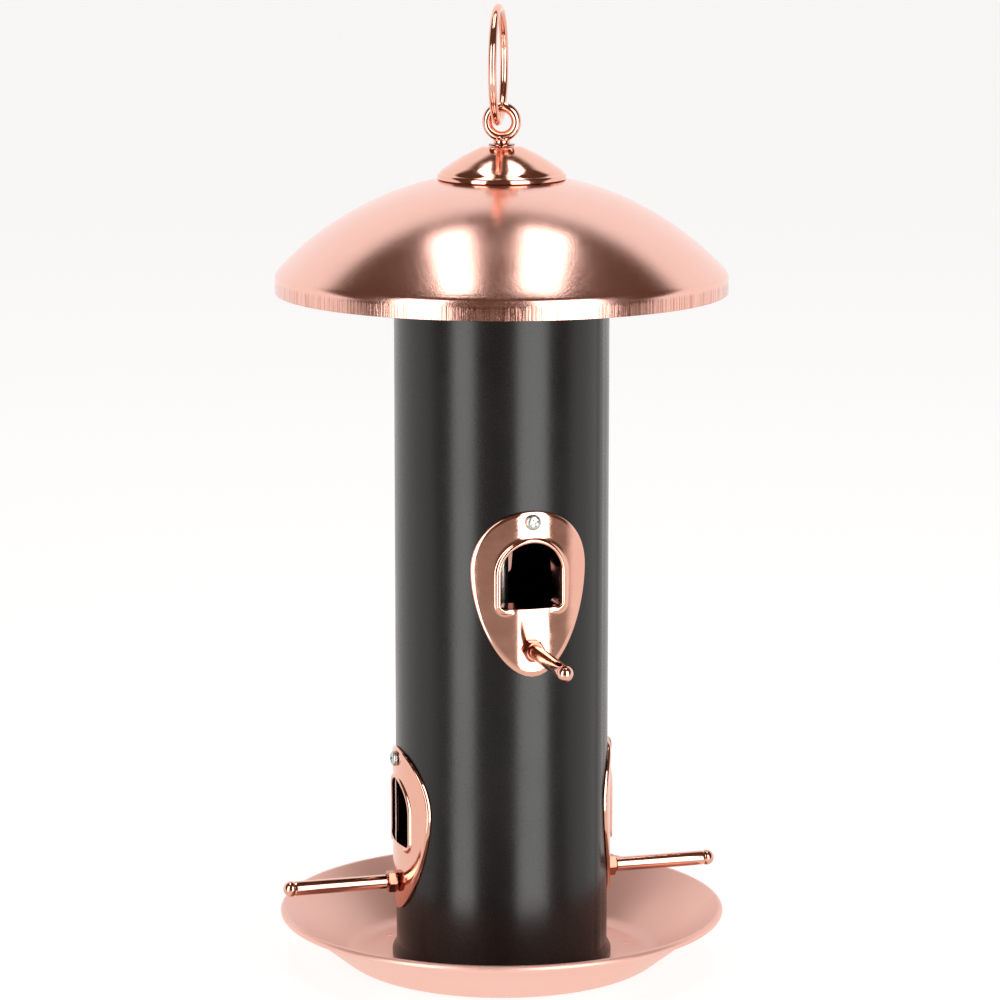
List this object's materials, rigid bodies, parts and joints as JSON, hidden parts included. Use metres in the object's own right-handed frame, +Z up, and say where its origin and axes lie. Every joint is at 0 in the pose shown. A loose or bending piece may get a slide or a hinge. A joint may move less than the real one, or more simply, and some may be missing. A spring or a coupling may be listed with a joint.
{
  "type": "hanging tube bird feeder",
  "caption": "Hanging metal tube seed feeder with domed copper roof, dished tray, side ports with perches, and an eye bolt and ring to hang it by.",
  "frame": {"origin": "on the tube's axis at the flat underside of the tray", "axes": "+Z up along the tube's axis; the upper seed ports face -Y and +Y, the lower ones +X and -X"},
  "size_m": [0.162, 0.162, 0.3439],
  "materials": {
    "copper_satin": "satin copper plating with fine grain",
    "copper_gloss": "bright copper plating",
    "black_enamel": "satin black powder coat",
    "zinc": "zinc-plated steel"
  },
  "bodies": {
    "feeder": {"seed_tray": "copper_satin", "tube": "black_enamel", "tie_rod": "zinc", "coupling_nut": "zinc", "base_washer": "zinc", "base_nut": "zinc", "rod_washer": "zinc", "rod_nut": "zinc", "port_plate_front": "copper_gloss", "port_plate_right": "copper_gloss", "port_plate_back": "copper_gloss", "port_plate_left": "copper_gloss", "seed_baffle_front": "copper_gloss", "seed_baffle_right": "copper_gloss", "seed_baffle_back": "copper_gloss", "seed_baffle_left": "copper_gloss", "perch_front": "copper_gloss", "perch_right": "copper_gloss", "perch_back": "copper_gloss", "perch_left": "copper_gloss", "perch_nut_front": "copper_gloss", "perch_nut_right": "copper_gloss", "perch_nut_back": "copper_gloss", "perch_nut_left": "copper_gloss", "perch_inner_nut_front": "zinc", "perch_inner_nut_right": "zinc", "perch_inner_nut_back": "zinc", "perch_inner_nut_left": "zinc", "port_screw_front": "zinc", "port_screw_right": "zinc", "port_screw_back": "zinc", "port_screw_left": "zinc", "port_screw_nut_front": "zinc", "port_screw_nut_right": "zinc", "port_screw_nut_back": "zinc", "port_screw_nut_left": "zinc"},
    "roof": {"roof": "copper_satin", "finial": "copper_gloss", "roof_collar": "zinc"},
    "eye_seal": {"eye_washer": "copper_gloss"},
    "eye": {"eye_bolt": "copper_gloss"},
    "ring": {"hanging_ring": "copper_gloss"}
  },
  "joints": [
    {"name": "roof_lift", "type": "slide", "parent": "feeder", "child": "roof", "axis": [0, 0, 1], "range_m": [0, 0.08]},
    {"name": "eye_rise", "type": "slide", "parent": "roof", "child": "eye_seal", "axis": [0, 0, 1], "range_m": [0, 0.0064]},
    {"name": "eye_turn", "type": "hinge", "parent": "eye_seal", "child": "eye", "pos_m": [0, 0, 0.30269], "axis": [0, 0, 1], "range_deg": [0, 2880]},
    {"name": "ring_swing", "type": "hinge", "parent": "eye", "child": "ring", "pos_m": [-0.00111, 0.00045, 0.30269], "axis": [0.3746, 0.9272, 0], "range_deg": [-115, 115]}
  ],
  "couplings": [
    {"joint": "eye_rise", "follows": "eye_turn", "m_per_rad": 0.00012732}
  ]
}
